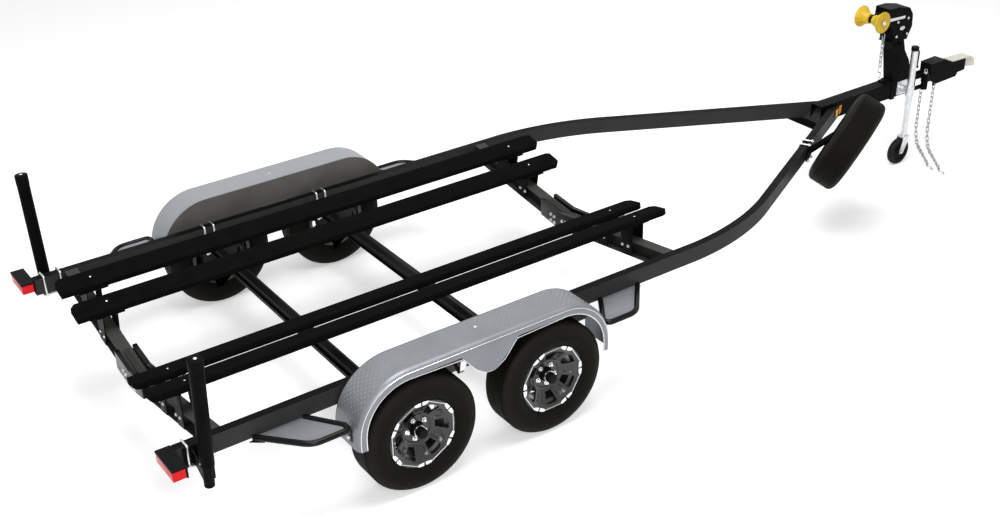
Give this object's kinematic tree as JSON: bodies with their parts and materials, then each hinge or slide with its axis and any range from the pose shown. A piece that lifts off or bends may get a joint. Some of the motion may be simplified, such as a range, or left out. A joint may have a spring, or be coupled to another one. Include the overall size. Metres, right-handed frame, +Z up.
{
  "type": "tandem-axle boat trailer",
  "caption": "Boat trailer with two axles, carpeted bunks, a winch stand with bow roller, a side-mounted tongue jack, a spare wheel and a swing-away tongue.",
  "frame": {"origin": "on the ground, below the middle of the trailer's overall length and width", "axes": "+X forward to the coupler, +Y to the trailer's left, +Z up"},
  "size_m": [7.165, 2.582, 1.249],
  "materials": {
    "black_frame": "gloss black powder coat",
    "black_steel": "satin black paint",
    "carpet": "black carpet",
    "tread_plate": "silver paint over tread-pattern sheet",
    "panel_grey": "dark grey paint",
    "tyre": "matt black rubber",
    "wheel_black": "gloss black with machined silver edges",
    "drum": "dark cast iron",
    "axle_paint": "satin black paint",
    "zinc": "bright zinc plate",
    "black_plastic": "black moulded plastic",
    "sleeve": "black sleeve",
    "red_lens": "red lens",
    "amber_lens": "amber lens",
    "yellow_rubber": "yellow moulded roller",
    "cream_paint": "pale silver paint",
    "caster_wheel": "black rubber wheel"
  },
  "bodies": {
    "frame": {"side_rails": "black_frame", "tongue_beam": "black_frame", "tongue_gusset": "black_frame", "vee_crossmembers": "black_frame", "level_crossmembers": "black_frame", "bunks": "carpet", "bunk_brackets": "black_steel", "frame_u_bolts": "zinc", "axles": "axle_paint", "fenders": "tread_plate", "fender_panels": "panel_grey", "step_frames": "black_steel", "step_plates": "tread_plate", "tail_lamp_housings": "black_plastic", "tail_lamp_lenses": "red_lens", "guide_posts": "sleeve", "guide_post_brackets": "black_steel", "side_lamps": "amber_lens", "spare_tyre": "tyre", "spare_wheel": "wheel_black", "spare_carrier": "black_steel", "winch_stand": "black_steel", "winch_housing": "black_plastic", "winch_straps": "zinc", "bow_roller_axle": "zinc", "bow_chain": "zinc", "bow_chain_hook": "zinc", "jack_mount": "zinc", "hinge_rear": "black_steel", "hinge_pins": "zinc"},
    "wheel_right_rear": {"tyre_right_rear": "tyre", "wheel_right_rear": "wheel_black", "hub_right_rear": "drum"},
    "wheel_right_front": {"tyre_right_front": "tyre", "wheel_right_front": "wheel_black", "hub_right_front": "drum"},
    "wheel_left_rear": {"tyre_left_rear": "tyre", "wheel_left_rear": "wheel_black", "hub_left_rear": "drum"},
    "wheel_left_front": {"tyre_left_front": "tyre", "wheel_left_front": "wheel_black", "hub_left_front": "drum"},
    "bow_roller": {"bow_roller": "yellow_rubber"},
    "jack": {"jack_tube": "zinc", "jack_cap": "black_plastic", "jack_crank": "zinc"},
    "jack_leg": {"jack_leg": "zinc"},
    "caster": {"jack_fork": "zinc"},
    "caster_wheel": {"jack_wheel": "caster_wheel"},
    "coupler": {"hinge_front": "black_steel", "actuator_case": "black_steel", "coupler_nose": "cream_paint", "safety_chains": "zinc", "safety_chain_hooks": "zinc"}
  },
  "joints": [
    {"name": "wheel_right_rear_turns", "type": "hinge", "parent": "frame", "child": "wheel_right_rear", "pos_m": [-2.3175, -1.181, 0.3315], "axis": [0, 1, 0], "continuous": true},
    {"name": "wheel_right_front_turns", "type": "hinge", "parent": "frame", "child": "wheel_right_front", "pos_m": [-1.4975, -1.181, 0.3315], "axis": [0, 1, 0], "continuous": true},
    {"name": "wheel_left_rear_turns", "type": "hinge", "parent": "frame", "child": "wheel_left_rear", "pos_m": [-2.3175, 1.181, 0.3315], "axis": [0, 1, 0], "continuous": true},
    {"name": "wheel_left_front_turns", "type": "hinge", "parent": "frame", "child": "wheel_left_front", "pos_m": [-1.4975, 1.181, 0.3315], "axis": [0, 1, 0], "continuous": true},
    {"name": "bow_roller_turns", "type": "hinge", "parent": "frame", "child": "bow_roller", "pos_m": [2.3325, 0, 1.17], "axis": [0, 1, 0], "continuous": true},
    {"name": "jack_swings", "type": "hinge", "parent": "frame", "child": "jack", "pos_m": [2.6955, -0.126, 0.575], "axis": [0, 1, 0], "range_deg": [0, 90]},
    {"name": "jack_leg_slides", "type": "slide", "parent": "jack", "child": "jack_leg", "axis": [0, 0, 1], "range_m": [0, 0.22]},
    {"name": "caster_swivels", "type": "hinge", "parent": "jack_leg", "child": "caster", "pos_m": [2.6955, -0.126, 0.221], "axis": [0, 0, 1], "continuous": true},
    {"name": "caster_wheel_turns", "type": "hinge", "parent": "caster", "child": "caster_wheel", "pos_m": [2.6505, -0.126, 0.1016], "axis": [0, 1, 0], "continuous": true},
    {"name": "tongue_swings", "type": "hinge", "parent": "frame", "child": "coupler", "pos_m": [2.9275, 0.074, 0.579], "axis": [0, 0, 1], "range_deg": [0, 120]}
  ]
}
